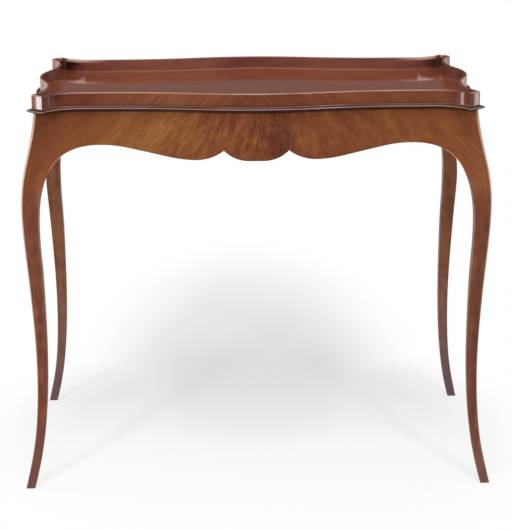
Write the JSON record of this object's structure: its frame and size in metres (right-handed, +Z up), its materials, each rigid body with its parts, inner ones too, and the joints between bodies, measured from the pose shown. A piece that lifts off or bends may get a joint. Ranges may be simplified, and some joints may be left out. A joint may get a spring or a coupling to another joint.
{
  "type": "tray top tea table",
  "caption": "Tray-top tea table with a serpentine gallery, canted corners, shaped aprons and slender cabriole legs.",
  "frame": {"origin": "on the floor under the middle of the tray", "axes": "+Z up, +X along the length to the right seen from the front, the front faces -Y"},
  "size_m": [0.825, 0.487, 0.7],
  "materials": {
    "leg_mahogany": "French-polished solid mahogany",
    "rail_core": "planed and stained secondary timber",
    "apron_veneer": "French-polished mahogany veneer, leaves matched in pairs",
    "gallery_mahogany": "French-polished mahogany",
    "moulding_mahogany": "French-polished mahogany, worn bright on the bead",
    "board_core": "planed and stained secondary timber",
    "tray_veneer": "French-polished mahogany veneer",
    "secondary_wood": "planed softwood, darkened with age"
  },
  "bodies": {
    "root": {"leg_front_left": "leg_mahogany", "leg_front_right": "leg_mahogany", "leg_rear_left": "leg_mahogany", "leg_rear_right": "leg_mahogany", "apron_front": "rail_core", "apron_rear": "rail_core", "apron_left": "rail_core", "apron_right": "rail_core", "veneer_front_left": "apron_veneer", "veneer_front_right": "apron_veneer", "veneer_rear_left": "apron_veneer", "veneer_rear_right": "apron_veneer", "veneer_left_front": "apron_veneer", "veneer_left_rear": "apron_veneer", "veneer_right_front": "apron_veneer", "veneer_right_rear": "apron_veneer", "gallery_front": "gallery_mahogany", "gallery_rear": "gallery_mahogany", "gallery_left": "gallery_mahogany", "gallery_right": "gallery_mahogany", "gallery_corner_front_left": "gallery_mahogany", "gallery_corner_front_right": "gallery_mahogany", "gallery_corner_rear_left": "gallery_mahogany", "gallery_corner_rear_right": "gallery_mahogany", "moulding_front": "moulding_mahogany", "moulding_rear": "moulding_mahogany", "moulding_left": "moulding_mahogany", "moulding_right": "moulding_mahogany", "moulding_corner_front_left": "moulding_mahogany", "moulding_corner_front_right": "moulding_mahogany", "moulding_corner_rear_left": "moulding_mahogany", "moulding_corner_rear_right": "moulding_mahogany", "tray_board": "board_core", "tray_veneer": "tray_veneer", "centre_bearer": "secondary_wood", "glue_blocks": "secondary_wood"}
  },
  "joints": []
}
